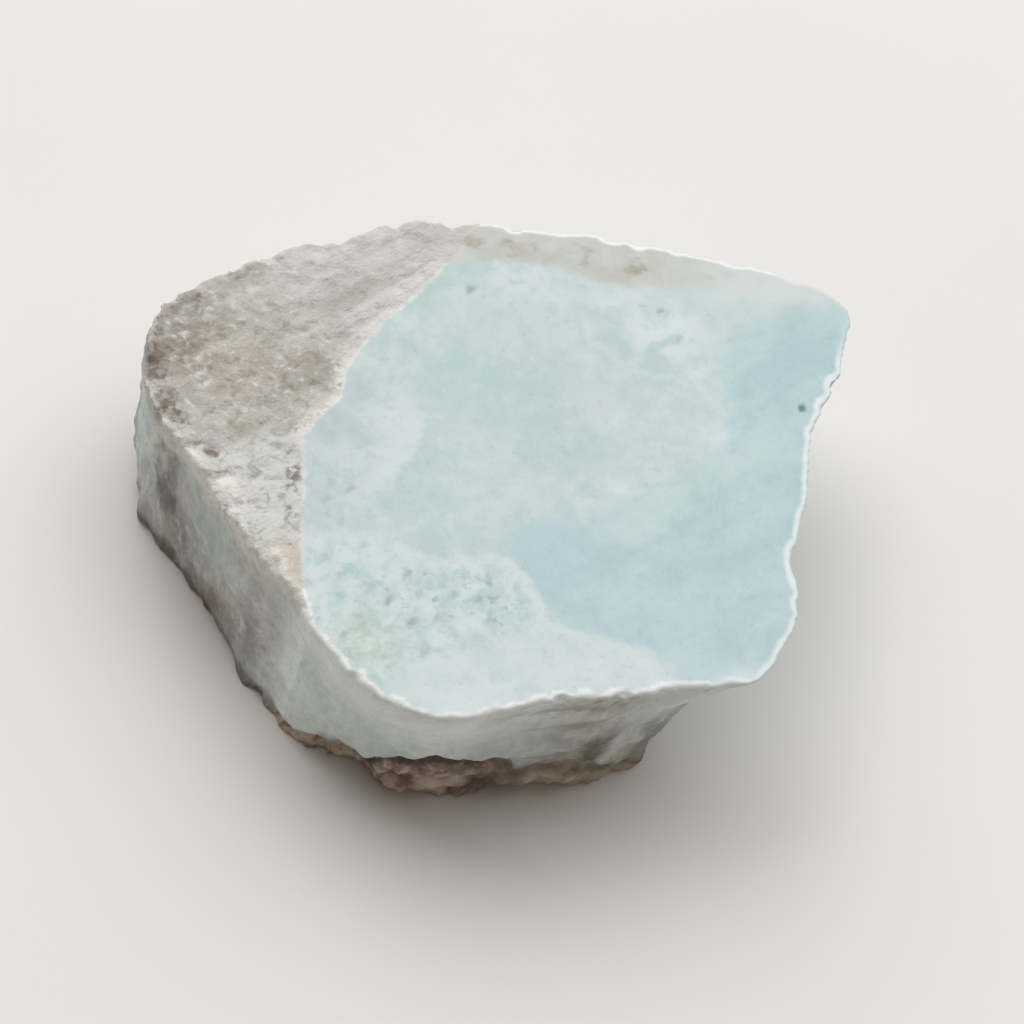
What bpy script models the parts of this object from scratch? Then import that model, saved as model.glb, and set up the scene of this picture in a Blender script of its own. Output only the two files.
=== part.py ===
"""Rough larimar: one stone with a sawn top face, weathered walls and a bed of brown rind."""

import math
import random

import bmesh
import bpy
import numpy as np
from mathutils import Matrix, Vector, noise

MM = 0.001

# Driving dimensions, in millimetres. The table is at z = 0 and the sawn face at z = THICKNESS.
THICKNESS = 12.0
SAW_WASTE = 1.4
# The underside is hollow by this much in the middle, so the stone stands on its edges.
BED_HOLLOW = 0.7

# The sawn face's outline, clockwise from its left end, measured from the middle of its box.
SAWN_FACE = (
    (-23.0, 5.8), (-22.8, 8.6), (-21.7, 12.1), (-19.2, 13.7), (-16.6, 14.8), (-14.2, 16.1),
    (-12.3, 16.8), (-9.4, 17.2), (-6.7, 18.3), (-3.8, 18.7), (-2.4, 18.2), (-0.8, 18.4),
    (3.4, 17.7), (8.7, 16.5), (12.2, 15.8), (16.4, 14.5), (21.2, 12.9), (23.0, 11.5),
    (23.3, 10.4), (22.1, 7.8), (21.5, 5.8), (19.0, 2.1), (18.3, 0.8), (18.0, -0.8),
    (17.2, -3.4), (16.0, -6.0), (15.2, -8.4), (15.4, -9.9), (14.9, -12.4), (13.5, -14.8),
    (11.5, -17.2), (8.1, -17.0), (3.1, -17.6), (0.7, -17.4), (-2.1, -17.6), (-4.7, -18.3),
    (-6.4, -18.7), (-8.1, -18.6), (-11.2, -17.3), (-13.3, -14.8), (-14.8, -12.0), (-15.7, -9.1),
    (-17.7, -6.0), (-19.8, -1.5), (-20.9, 1.3), (-22.0, 2.7), (-22.7, 4.7),
)
OUTLINE_STEP = 1.0

# How far the foot stands inside the sawn face, by compass angle in degrees from +X.
FOOT_INSET = (
    (0, 5.5), (15, 7.0), (25, 8.0), (35, 6.5), (50, 3.8), (65, 2.8), (90, 2.2), (120, 1.8),
    (150, 1.2), (170, 0.6), (190, -0.2), (205, -0.9), (220, -0.4), (232, 2.0), (250, 2.2),
    (263, 0.9), (275, 0.5), (285, 1.3), (295, 2.6), (303, 5.2), (312, 6.6), (330, 6.8), (345, 6.2),
)
# The wall's profile: over 1 it bulges like a worn side, under 1 it is hollow like a flake scar.
WALL_POWER = (
    (0, 0.75), (30, 0.7), (60, 1.2), (100, 1.6), (240, 1.7), (270, 1.6), (292, 1.2), (304, 0.7),
    (340, 0.65),
)
# How rough the side is, from 0 on a weathered wall to 1 on broken matrix.
SIDE_ROUGHNESS = (
    (0, 0.3), (25, 0.5), (45, 0.9), (100, 1.0), (150, 0.9), (165, 0.4), (180, 0.15), (225, 0.15),
    (260, 0.2), (300, 0.25), (340, 0.25),
)
# Height of the brown rind above the table.
RIND_HEIGHT = (
    (0, 1.0), (60, 3.5), (100, 5.0), (150, 4.0), (175, 1.0), (225, 0.6), (237, 1.0), (245, 2.4),
    (252, 4.0), (259, 4.9), (266, 4.4), (273, 3.2), (285, 2.0), (300, 0.6), (330, 0.8),
)

# Flakes struck off the right side: the hollow's centre, and its half sizes along X, Y and Z.
FLAKE_SCARS = (
    ((16.2, -15.6, 3.2), (9.4, 11.6, 8.2)),
    ((21.3, -4.6, 5.0), (10.6, 7.4, 6.6)),
    ((20.0, 3.0, 0.0), (8.2, 7.2, 7.6)),
    ((25.6, 10.6, 3.4), (10.4, 7.2, 7.8)),
)

# The tan matrix fills the sawn face to the left of this edge, from the back to the front.
MATRIX_EDGE = (
    (-2.5, 19.0), (-3.2, 15.5), (-6.6, 11.5), (-10.6, 7.8), (-11.0, 6.1), (-14.9, 1.7),
    (-14.2, 0.6), (-14.8, -3.5), (-15.5, -9.4),
)
PORE_DEPTH = 0.6
PORE_GRID = 0.8

RIM_STEP = 0.25
VOXEL = 0.55
SKIN_TRIANGLES = 5600
SEED = 7


def around(table, degrees):
    """Reads a table of (angle, value) at any angle, the whole way round."""
    angles, values = zip(*table)
    return np.interp(degrees, angles, values, period=360)


def smoothstep(low, high, value):
    t = np.clip((value - low) / (high - low), 0.0, 1.0)
    return t * t * (3.0 - 2.0 * t)


def resample(points, step):
    """Spaces points evenly along a closed outline."""
    corners = np.array(points + points[:1])
    lengths = np.hypot(*np.diff(corners, axis=0).T)
    run = np.concatenate(([0.0], np.cumsum(lengths)))
    count = round(run[-1] / step)
    stops = np.arange(count) * run[-1] / count
    return np.column_stack([np.interp(stops, run, corners[:, axis]) for axis in (0, 1)])


def compass(x, y):
    return np.degrees(np.arctan2(y, x)) % 360


def wall_ring(outline, depth):
    """The stone's outline at a depth below the sawn face."""
    degrees = compass(outline[:, 0], outline[:, 1])
    share = np.clip(depth / THICKNESS, 0.0, 1.0)
    inset = around(FOOT_INSET, degrees) * share ** around(WALL_POWER, degrees)
    radius = np.hypot(outline[:, 0], outline[:, 1])
    return outline * (1.0 - inset / radius)[:, None]


def loft_stone():
    """Joins rings from the waste above the saw cut down to the waste below the table."""
    outline = resample(SAWN_FACE, OUTLINE_STEP)[::-1]
    depths = [-SAW_WASTE, 0.0, 0.4, 1.0, 2.0, 3.5, 5.0, 7.0, 9.0, 10.5, 11.4, THICKNESS]
    bm = bmesh.new()
    rings = []
    for depth in depths:
        ring = wall_ring(outline, depth)
        rings.append([bm.verts.new((x * MM, y * MM, (THICKNESS - depth) * MM)) for x, y in ring])
    for upper, lower in zip(rings, rings[1:]):
        for i in range(len(upper)):
            j = (i + 1) % len(upper)
            bm.faces.new((upper[j], upper[i], lower[i], lower[j]))
    bm.faces.new(rings[0])
    bm.faces.new(reversed(rings[-1]))
    mesh = bpy.data.meshes.new("loft")
    bm.to_mesh(mesh)
    bm.free()
    return mesh


def even_mesh(mesh, collection):
    """Turns a loft into an even grid of small faces."""
    loft = bpy.data.objects.new("loft", mesh)
    collection.objects.link(loft)
    remesh = loft.modifiers.new("even faces", "REMESH")
    remesh.mode = "VOXEL"
    remesh.voxel_size = VOXEL * MM
    graph = bpy.context.evaluated_depsgraph_get()
    even = bpy.data.meshes.new_from_object(loft.evaluated_get(graph))
    bpy.data.objects.remove(loft)
    return even


def fractal(point, wavelength, octaves, offset):
    place = Vector(point) / wavelength + Vector((offset, offset * 0.7, offset * 1.3))
    return noise.fractal(place, 1.0, 2.0, octaves, noise_basis="PERLIN_NEW")


def knobs(point, wavelength, offset):
    """Rounded lumps, one to each cell, from 0 between the lumps to about 1 on top."""
    place = Vector(point) / wavelength + Vector((offset, offset, offset))
    nearest = noise.voronoi(place)[0][0]
    return 1.0 - min(nearest * 1.25, 1.0)


def ledges(point, height):
    """Steps where the layers broke away, leaning to the right."""
    level = (point[2] + 0.25 * point[0] + 1.6 * fractal(point, 8.0, 2, 31.0)) / height
    part = level - math.floor(level)
    return smoothstep(0.15, 0.55, part) - part


def roughen(mesh):
    """Moves each point of the stone's skin along its normal."""
    count = len(mesh.vertices)
    places = np.empty(count * 3, np.float32)
    normals = np.empty(count * 3, np.float32)
    mesh.vertices.foreach_get("co", places)
    mesh.vertex_normals.foreach_get("vector", normals)
    places = places.reshape(-1, 3).astype(float) / MM
    normals = normals.reshape(-1, 3).astype(float)
    degrees = compass(places[:, 0], places[:, 1])
    radius = np.hypot(places[:, 0], places[:, 1])
    below_saw = THICKNESS - places[:, 2]
    rim_fade = 0.25 + 0.75 * smoothstep(0.0, 3.0, below_saw)
    rim_fade *= smoothstep(-1.2, -0.6, below_saw)
    bed = smoothstep(0.5, 0.85, -normals[:, 2])
    rough = np.maximum(around(SIDE_ROUGHNESS, degrees), bed)
    above_rind = places[:, 2] - around(RIND_HEIGHT, degrees)
    rind = smoothstep(0.5, -0.5, above_rind)
    groove = np.exp(-((above_rind / 0.6) ** 2)) * (1.0 - bed)
    for i, point in enumerate(places):
        swell = 0.30 * fractal(point, 9.0, 2, 3.0)
        lumps = (0.10 + 0.55 * rough[i]) * fractal(point, 4.0, 3, 11.0)
        grit = (1.1 * rind[i] + 0.3 * rough[i]) * (knobs(point, 2.6, 5.0) - 0.3)
        steps = 1.1 * rough[i] * (1.0 - bed[i]) * ledges(point, 4.5)
        hollow = -BED_HOLLOW * bed[i] * smoothstep(16.0, 9.0, radius[i])
        move = swell + lumps + grit + steps + hollow - 0.3 * groove[i]
        point += normals[i] * rim_fade[i] * move
    mesh.vertices.foreach_set("co", (places * MM).astype(np.float32).ravel())
    mesh.update()


def principled(name, colour, roughness):
    material = bpy.data.materials.new(name)
    material.use_nodes = True
    shader = material.node_tree.nodes["Principled BSDF"]
    shader.inputs["Base Color"].default_value = (*colour, 1.0)
    shader.inputs["Roughness"].default_value = roughness
    shader.inputs["Metallic"].default_value = 0.0
    return material


def add_cutter(name, bm, collection):
    mesh = bpy.data.meshes.new(name)
    bm.to_mesh(mesh)
    bm.free()
    cutter = bpy.data.objects.new(name, mesh)
    cutter.hide_render = True
    cutter.display_type = "WIRE"
    collection.objects.link(cutter)
    return cutter


def slab_cutter(name, low, high, collection):
    """A block wider than the stone, between two heights."""
    bm = bmesh.new()
    scale = Matrix.Diagonal((80.0 * MM, 80.0 * MM, (high - low) * MM, 1.0))
    place = Matrix.Translation((0.0, 0.0, (low + high) / 2 * MM))
    bmesh.ops.create_cube(bm, size=1.0, matrix=place @ scale)
    return add_cutter(name, bm, collection)


def pebble(bm, centre, half_sizes, turn, subdivisions):
    """Adds a cutter's egg: its centre and half sizes in millimetres, turned about Z."""
    place = Matrix.Translation(Vector(centre) * MM)
    size = Matrix.Diagonal((*(half * MM for half in half_sizes), 1.0))
    matrix = place @ Matrix.Rotation(turn, 4, "Z") @ size
    bmesh.ops.create_icosphere(bm, subdivisions=subdivisions, radius=1.0, matrix=matrix)


def flake_cutters(collection):
    """Hollows left by struck flakes, slightly wavy like broken porcelain."""
    for number, (centre, half_sizes) in enumerate(FLAKE_SCARS):
        bm = bmesh.new()
        pebble(bm, centre, half_sizes, 0.0, 4)
        middle = Vector(centre) * MM
        for vert in bm.verts:
            wave = 0.07 * fractal(vert.co / MM, 6.0, 2, 41.0 + number)
            vert.co = middle + (vert.co - middle) * (1.0 + wave)
        add_cutter(f"flake_scar_{number}", bm, collection)


def chip_cutter(collection):
    """Flakes along the rim, of every size, close together at the front and rare at the back."""
    dice = random.Random(SEED)
    outline = resample(SAWN_FACE, RIM_STEP)
    bm = bmesh.new()
    run = 1.5
    while run < len(outline) * RIM_STEP - 2.5:
        front = smoothstep(6.0, -4.0, outline[round(run / RIM_STEP)][1])
        half = 0.4 + (0.7 + 1.1 * front) * dice.random() ** 2
        run += half
        i = round(run / RIM_STEP) % len(outline)
        x, y = outline[i]
        along = outline[(i + 4) % len(outline)] - outline[i - 4]
        half_sizes = (half, dice.uniform(0.2, 0.45), dice.uniform(0.3, 0.8))
        pebble(bm, (x, y, THICKNESS + 0.05), half_sizes, math.atan2(along[1], along[0]), 1 if half < 1.1 else 2)
        run += half + 0.3 + (6.0 - 4.2 * front) * dice.random() ** 2
    add_cutter("rim_chips", bm, collection)


def left_of_matrix_edge(x, y):
    """Distance from the matrix's edge along X, positive inside the matrix."""
    edge_x, edge_y = zip(*sorted(MATRIX_EDGE, key=lambda corner: corner[1]))
    return np.interp(y, edge_y, edge_x) - x


def pore_cutter(collection):
    """Pores where the saw plucked grains from the tan matrix: a bumpy sheet pressed into it."""
    bm = bmesh.new()
    low, high = Vector((-23.6, -10.4)), Vector((-2.0, 19.4))
    spans = (high - low) / PORE_GRID
    sheet = bmesh.ops.create_grid(bm, x_segments=round(spans.x), y_segments=round(spans.y), size=0.5)
    for vert in sheet["verts"]:
        x = low.x + (vert.co.x + 0.5) * (high.x - low.x)
        y = low.y + (vert.co.y + 0.5) * (high.y - low.y)
        inside = smoothstep(-0.2, 1.2, left_of_matrix_edge(x, y))
        grain = fractal((x, y, 0.0), 2.6, 3, 17.0) - 0.14
        depth = min(2.4 * grain, 1.0) * PORE_DEPTH * inside
        vert.co = Vector((x, y, THICKNESS + 0.12 - depth)) * MM
    top = bmesh.ops.extrude_face_region(bm, geom=bm.faces[:])
    for vert in top["geom"]:
        if isinstance(vert, bmesh.types.BMVert):
            vert.co.z = (THICKNESS + 2.0) * MM
    bmesh.ops.recalc_face_normals(bm, faces=bm.faces[:])
    add_cutter("matrix_pores", bm, collection)


def main():
    for thing in list(bpy.data.objects):
        bpy.data.objects.remove(thing)
    parts = bpy.data.collections.new("rough_larimar")
    cutters = bpy.data.collections.new("cutters")
    bpy.context.scene.collection.children.link(parts)
    bpy.context.scene.collection.children.link(cutters)

    mesh = even_mesh(loft_stone(), parts)
    roughen(mesh)
    mesh.name = "larimar_stone"
    stone = bpy.data.objects.new("larimar_stone", mesh)
    parts.objects.link(stone)
    stone.data.materials.append(principled("larimar", (0.60, 0.72, 0.73), 0.6))

    slab_cutter("saw_cut", THICKNESS, THICKNESS + 10.0, cutters)
    slab_cutter("table", -10.0, 0.0, cutters)
    flake_cutters(cutters)
    chip_cutter(cutters)
    pore_cutter(cutters)

    fewer = stone.modifiers.new("fewer faces", "DECIMATE")
    fewer.ratio = SKIN_TRIANGLES / (2 * len(mesh.polygons))
    cuts = stone.modifiers.new("saw, chips and pits", "BOOLEAN")
    cuts.operation = "DIFFERENCE"
    cuts.solver = "EXACT"
    cuts.operand_type = "COLLECTION"
    cuts.collection = cutters


main()
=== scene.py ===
"""Rough larimar as photographed: a finely carved mesh of the stone, its colours, table and light."""
import math
import random

import bpy
import numpy as np
from mathutils import Matrix, Vector, kdtree, noise


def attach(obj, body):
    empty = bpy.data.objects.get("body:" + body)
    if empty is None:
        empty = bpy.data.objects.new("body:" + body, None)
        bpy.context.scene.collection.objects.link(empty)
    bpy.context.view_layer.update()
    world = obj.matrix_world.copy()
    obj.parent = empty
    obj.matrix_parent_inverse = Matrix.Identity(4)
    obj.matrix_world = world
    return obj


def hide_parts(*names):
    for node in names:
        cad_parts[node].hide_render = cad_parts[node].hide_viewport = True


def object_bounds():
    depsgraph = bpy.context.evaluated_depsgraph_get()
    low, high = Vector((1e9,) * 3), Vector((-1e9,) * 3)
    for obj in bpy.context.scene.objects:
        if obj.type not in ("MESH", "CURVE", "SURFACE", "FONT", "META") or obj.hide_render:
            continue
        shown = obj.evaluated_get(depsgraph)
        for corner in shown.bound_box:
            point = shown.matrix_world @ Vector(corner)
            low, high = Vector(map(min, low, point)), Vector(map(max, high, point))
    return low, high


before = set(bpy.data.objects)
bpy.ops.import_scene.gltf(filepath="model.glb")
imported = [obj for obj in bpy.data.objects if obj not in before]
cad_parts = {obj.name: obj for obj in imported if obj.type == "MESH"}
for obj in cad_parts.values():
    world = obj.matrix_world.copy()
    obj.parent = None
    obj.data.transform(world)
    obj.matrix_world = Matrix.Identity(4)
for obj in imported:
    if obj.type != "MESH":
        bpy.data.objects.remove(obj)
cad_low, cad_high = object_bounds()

MM = 0.001

# The stone stands on z = 0, and its sawn face is at z = THICKNESS. Lengths are in millimetres.
THICKNESS = 12.0
VOXEL = 0.225
SEED = 11
FLAKES = 520
EDGE_STEP = 0.1
# By compass angle, how far the finished skin stands out from the plain solid, as a share of the
# distance from its middle.
FULLNESS = (
    (4, 1.011), (10, 1.002), (14, 0.999), (25, 1.001), (31, 1.012), (40, 1.021), (54, 1.021), (61, 1.026),
    (69, 1.026), (77, 1.011), (236, 1.011), (250, 1.019), (262, 1.022), (272, 1.018), (281, 1.010),
    (285, 1.010), (289, 1.021), (294, 1.033), (296, 1.032), (299, 1.017), (303, 1.02), (308, 1.027),
    (312, 1.02), (316, 1.026), (323, 1.03), (328, 1.041), (332, 1.038), (336, 1.042), (340, 1.033),
    (346, 1.03), (351, 1.022), (357, 1.013),
)
# Where only the rim stands out like that, and the wall beneath it does not.
RIM_ALONE = ((284, 0.0), (291, 1.0), (300, 1.0), (312, 0.0))

# Edges of the colour zones on the sawn face, as closed outlines.
MATRIX = (
    (-3.3, 15.0), (-5.0, 13.3), (-7.5, 10.7), (-9.7, 8.5), (-10.6, 6.9), (-11.1, 4.8), (-13.1, 2.8),
    (-14.2, 1.6), (-14.0, 0.5), (-14.4, -2.4), (-14.9, -5.8), (-15.1, -8.2), (-15.2, -12.0),
    (-30.0, -10.0), (-30.0, 25.0), (2.5, 25.0), (-0.5, 18.2), (-1.9, 16.4),
)
LILAC = (
    (-7.7, 10.3), (-6.1, 8.5), (-6.2, 5.6), (-6.1, 2.9), (-6.7, 0.2), (-8.5, -1.2), (-10.3, -2.5),
    (-10.8, -4.3), (-12.0, -5.5), (-14.8, -5.3), (-16.3, -3.3), (-15.7, 1.8), (-13.1, 2.6),
    (-11.1, 5.6), (-9.3, 8.2),
)
MILK = (
    (-17.6, -5.3), (-14.8, -5.4), (-12.2, -5.4), (-10.2, -5.2), (-8.7, -6.3), (-7.2, -7.1),
    (-5.5, -7.6), (-4.0, -7.0), (-2.6, -7.1), (-1.5, -8.3), (-0.9, -9.9), (-0.4, -11.8),
    (1.1, -12.9), (3.1, -13.6), (5.1, -14.5), (6.5, -15.5), (7.2, -16.7), (6.9, -20.7), (-19.1, -19.6),
)
CREAM = (
    (-11.5, -15.9), (-10.0, -15.0), (-7.9, -14.5), (-5.0, -13.9), (-2.5, -13.1), (-0.6, -12.3),
    (1.1, -12.9), (3.1, -13.6), (5.1, -14.5), (6.5, -15.5), (7.2, -16.7), (6.9, -20.7), (-12.0, -19.9),
)
SKY = (
    (6.9, -20.7), (7.2, -16.7), (6.5, -15.5), (5.1, -14.5), (3.1, -13.6), (1.1, -12.9), (-0.4, -11.8),
    (-0.9, -9.9), (-1.5, -8.3), (-2.6, -6.8), (-2.3, -6.0), (-0.2, -5.1), (3.5, -4.7), (5.9, -3.2),
    (7.9, -2.0), (11.7, -1.1), (13.2, 2.3), (13.1, 4.6), (14.1, 8.5), (15.9, 9.8), (18.0, 10.7),
    (22.3, 11.4), (27.8, 11.7), (21.0, -21.3),
)
# Where the sky zone is streaked with the aqua beside it.
MIXED = (
    (2.8, -6.5), (2.4, -4.8), (5.9, -3.0), (7.9, -1.8), (11.7, -0.9), (13.4, 1.0), (16.5, 2.5),
    (18.4, 1.8), (17.7, -0.9), (16.4, -1.7), (15.8, -3.4), (12.4, -3.3), (11.8, -5.9), (9.0, -6.0),
    (5.9, -7.4),
)
# The stained band along the back of the sawn face.
BACK_BAND = (
    (-3.0, 15.1), (-2.0, 15.4), (0.9, 15.3), (3.5, 15.0), (6.0, 13.9), (8.1, 13.2), (10.3, 13.1),
    (13.3, 12.8), (16.4, 12.2), (21.5, 12.0), (27.0, 11.6), (27.0, 26.0), (-1.0, 26.0), (-3.4, 18.5),
    (-3.9, 16.5),
)
# Lacy white arcs on the sawn face.
LACE = (
    (7.2, 12.1), (9.9, 9.7), (11.6, 6.5), (12.7, 3.3), (11.9, -0.2), (9.1, -1.5), (4.9, -2.7),
    (1.8, -3.9),
)
INNER_LACE = ((5.7, 2.1), (7.9, 2.5), (10.4, 1.6), (11.8, 3.3))

# Brown stains along the band: centre, half length and how brown.
STAINS = (
    (-0.9, 17.0, 0.55, 1.0), (1.5, 16.5, 0.7, 0.9), (2.6, 16.4, 0.6, 0.6), (6.0, 15.7, 0.9, 0.6),
    (9.3, 14.8, 0.65, 1.0), (13.9, 13.9, 0.35, 0.9), (15.5, 13.7, 0.5, 0.7), (17.2, 13.2, 0.5, 0.5),
)
# Brown pits along the left edge of the matrix: centre, half length and how brown.
PITS = (
    (-22.5, 8.6, 1.2, 1.0), (-22.4, 7.2, 1.1, 1.0), (-21.9, 4.9, 0.9, 0.9), (-21.2, 3.6, 0.9, 0.85),
    (-19.7, 1.2, 0.8, 0.8), (-19.4, 12.9, 0.7, 0.75), (-16.6, 14.6, 0.6, 0.8), (-20.8, 11.9, 0.6, 0.7),
    (-22.0, 10.3, 0.6, 0.7),
)

# Dark specks: centre and half length, and how dark each one is.
SPECKS = (
    (-10.1, -10.4, 0.5, 0.6), (-8.8, -12.0, 0.6, 0.5), (-5.8, -10.0, 0.5, 0.4),
    (-3.8, -9.0, 0.45, 0.4), (-4.5, -10.5, 0.5, 0.45), (-7.1, -11.6, 0.45, 0.4), (-8.3, -14.1, 0.5, 0.4),
    (-13.0, -12.7, 0.42, 0.5), (-11.0, -6.4, 0.4, 0.3), (-13.6, -7.2, 0.45, 0.3),
    (-9.5, -9.4, 0.4, 0.25), (-8.2, -9.9, 0.45, 0.3), (-2.0, -9.7, 0.4, 0.3), (-2.8, -10.5, 0.4, 0.3),
    (-4.0, -11.7, 0.42, 0.3), (-12.0, -11.4, 0.4, 0.25), (-12.7, -8.5, 0.42, 0.3),
    (-11.1, -9.4, 0.42, 0.25), (-6.6, -8.6, 0.4, 0.25), (-12.5, -1.6, 0.45, 0.3),
    (-11.4, -2.2, 0.42, 0.45), (-13.0, -2.9, 0.45, 0.3), (-12.2, -4.6, 0.4, 0.25), (18.2, 3.2, 0.34, 1.2),
    (-1.7, 13.1, 0.45, 0.7), (10.3, 11.1, 0.34, 0.6), (9.3, 11.5, 0.3, 0.4), (11.2, 8.8, 0.4, 0.3),
    (21.3, 5.4, 0.5, 0.7),
)
SPECK_TILT = math.radians(55)
SPECK_SQUEEZE = 1.5

# By compass angle in degrees from +X: the height of the brown rind, how rough the side is,
# and how much of it is a fresh break.
RIND_HEIGHT = (
    (0, 0.4), (60, 3.5), (100, 5.0), (145, 3.6), (160, 0.4), (170, -0.4), (200, -0.4), (208, 0.4),
    (216, 0.5), (226, 1.0), (231, 1.7), (236, 3.0), (242, 5.2), (248, 6.0), (254, 5.3), (260, 4.2),
    (266, 3.6), (275, 3.3), (283, 2.4), (290, 0.6), (297, -0.3), (335, -0.3),
)
SIDE_ROUGHNESS = (
    (0, 0.3), (25, 0.5), (45, 0.9), (100, 1.0), (150, 0.9), (165, 0.4), (180, 0.15), (225, 0.15),
    (260, 0.2), (300, 0.25), (340, 0.25),
)
FRESH_BREAK = ((0, 1.0), (30, 0.9), (55, 0.3), (80, 0.0), (294, 0.0), (306, 0.5), (320, 1.0))
# How clearly the wall shows its layers, how far its lower part is stained, and where it is clean.
LAYERED = ((0, 0.0), (180, 0.1), (250, 0.15), (266, 0.6), (278, 1.0), (286, 0.8), (292, 0.35), (302, 0.0))
STAINED_FOOT = ((0, 0.0), (165, 0.3), (180, 1.0), (200, 0.9), (210, 0.35), (270, 0.2), (300, 0.5), (320, 0.0))
CLEAN = ((0, 0.0), (206, 0.0), (222, 1.0), (264, 1.0), (272, 0.0))
# How far a chip's hollow may lean from level: the overhanging right side is too thin for a steep one.
CHIP_LEAN = ((0, 6.0), (35, 6.0), (60, 50.0), (285, 60.0), (305, 6.0))

# The stone's materials and the zones that each can show. Faces that lie in one zone wear its material, which
# looks the same there as the first and renders faster.
MATERIALS = (
    ("larimar", ("blues", "matrix", "walls")),
    ("larimar_blues", ("blues",)),
    ("larimar_matrix", ("matrix",)),
    ("larimar_walls", ("walls",)),
)
# How far a face has to lie from the matrix's edge to be in one zone: the edge wanders less than that.
CLEAR_OF_EDGE = 1.1

# The camera and the light, in metres.
CAMERA_PLACE = Vector((-0.0562, -0.1483, 0.2185))
CAMERA_AIM = Vector((0.0, 0.0, 0.006))
PHOTO_PITCH = math.radians(48)
LENS = 148.0
# Each soft lamp: its bearing left of +Y and its height in degrees, its width and height, its power.
LAMPS = (
    ("wide_lamp", -30.0, 60.0, 1.6, 1.2, 11.2),
    ("side_lamp", 30.0, 45.0, 0.8, 0.8, 3.9),
)
LAMP_DISTANCE = 1.0
LAMP_COLOUR = (0.975, 1.0, 1.03)
FILL_COLOUR = (1.0, 0.88, 0.77)
FILL_STRENGTH = 0.235


def smoothstep(low, high, value):
    share = np.clip((value - low) / (high - low), 0.0, 1.0)
    return share * share * (3.0 - 2.0 * share)


def around(table, degrees):
    """Reads a table of (compass angle, value) smoothly right round the stone."""
    angles, values = (np.array(column, float) for column in zip(*table))
    angles = np.concatenate((angles[-1:] - 360.0, angles, angles[:1] + 360.0))
    values = np.concatenate((values[-1:], values, values[:1]))
    return np.interp(degrees % 360.0, angles, values)


def rounded(outline, closed=True, times=2):
    """Cuts an outline's corners so that it runs in curves."""
    corners = np.array(outline, float)
    for _ in range(times):
        after = np.roll(corners, -1, axis=0)
        pairs = np.stack((0.75 * corners + 0.25 * after, 0.25 * corners + 0.75 * after), axis=1)
        if closed:
            corners = pairs.reshape(-1, 2)
        else:
            corners = np.concatenate((corners[:1], pairs[:-1].reshape(-1, 2), corners[-1:]))
    return corners


def distance_to(places, corners, closed=True):
    """Distance to a line, and whether each place is inside it."""
    x, y = places[:, 0], places[:, 1]
    nearest = np.full(len(x), 1e9)
    within = np.zeros(len(x), bool)
    ends = np.roll(corners, -1, axis=0) if closed else corners[1:]
    for (ax, ay), (bx, by) in zip(corners, ends):
        dx, dy = bx - ax, by - ay
        along = np.clip(((x - ax) * dx + (y - ay) * dy) / (dx * dx + dy * dy), 0.0, 1.0)
        nearest = np.minimum(nearest, np.hypot(x - ax - along * dx, y - ay - along * dy))
        crossed = (ay > y) != (by > y)
        within ^= crossed & (x < ax + (y - ay) * dx / (dy if dy else 1.0))
    return nearest, within


def inside(places, outline):
    """Distance inside a closed outline, negative outside it."""
    nearest, within = distance_to(places, rounded(outline))
    return np.where(within, nearest, -nearest)


def fractal(places, wavelength, octaves, offset):
    """Soft noise of about -0.7 to 0.7 at each place."""
    scaled = places / wavelength + offset * np.array((1.0, 0.7, 1.3))
    return np.array([noise.fractal(Vector(p), 1.0, 2.0, octaves, noise_basis="PERLIN_NEW") for p in scaled])


def ridges(places, wavelength, octaves, offset):
    """Sharp crests of about 0 to 1, as broken rock has."""
    scaled = places / wavelength + offset * np.array((1.0, 0.7, 1.3))
    return np.array([
        noise.ridged_multi_fractal(Vector(p), 1.0, 2.1, octaves, 0.9, 2.0, noise_basis="PERLIN_NEW")
        for p in scaled
    ]) / 2.0


def cells(places, wavelength, offset):
    """Rounded grains, one to each cell: 1 in a grain's middle and 0 between the grains."""
    scaled = places / wavelength + offset
    nearest = np.array([noise.voronoi(Vector(p))[0][0] for p in scaled])
    return 1.0 - np.minimum(nearest * 1.25, 1.0)


def in_scene(name, data):
    """A new object of the scene."""
    thing = bpy.data.objects.new(name, data)
    bpy.context.scene.collection.objects.link(thing)
    return thing


def even_mesh(node):
    """The node's solid as an even grid of small faces, in millimetres."""
    solid = node.data.copy()
    solid.transform(Matrix.Scale(1.0 / MM, 4))
    solid.materials.clear()
    work = in_scene("work", solid)
    remesh = work.modifiers.new("even faces", "REMESH")
    remesh.mode = "VOXEL"
    remesh.voxel_size = VOXEL
    graph = bpy.context.evaluated_depsgraph_get()
    even = bpy.data.meshes.new_from_object(work.evaluated_get(graph))
    bpy.data.objects.remove(work)
    return even


def sawn_edge(node):
    """Points at every EDGE_STEP along the edge of the sawn face, its pores' edges too."""
    mesh = node.data
    ends = {}
    for face in mesh.polygons:
        corners = [mesh.vertices[i].co / MM for i in face.vertices]
        if face.normal.z < 0.99 or min(corner.z for corner in corners) < THICKNESS - 0.01:
            continue
        keys = [tuple(round(c, 3) for c in corner) for corner in corners]
        for a, b in zip(keys, keys[1:] + keys[:1]):
            ends[frozenset((a, b))] = ends.get(frozenset((a, b)), 0) + 1
    points = []
    for edge, faces in ends.items():
        if faces == 1 and len(edge) == 2:
            a, b = (np.array(end) for end in edge)
            steps = max(1, int(np.linalg.norm(b - a) / EDGE_STEP))
            points.extend(a + (b - a) * i / steps for i in range(steps))
    return np.array(sorted(tuple(p) for p in points))


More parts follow.
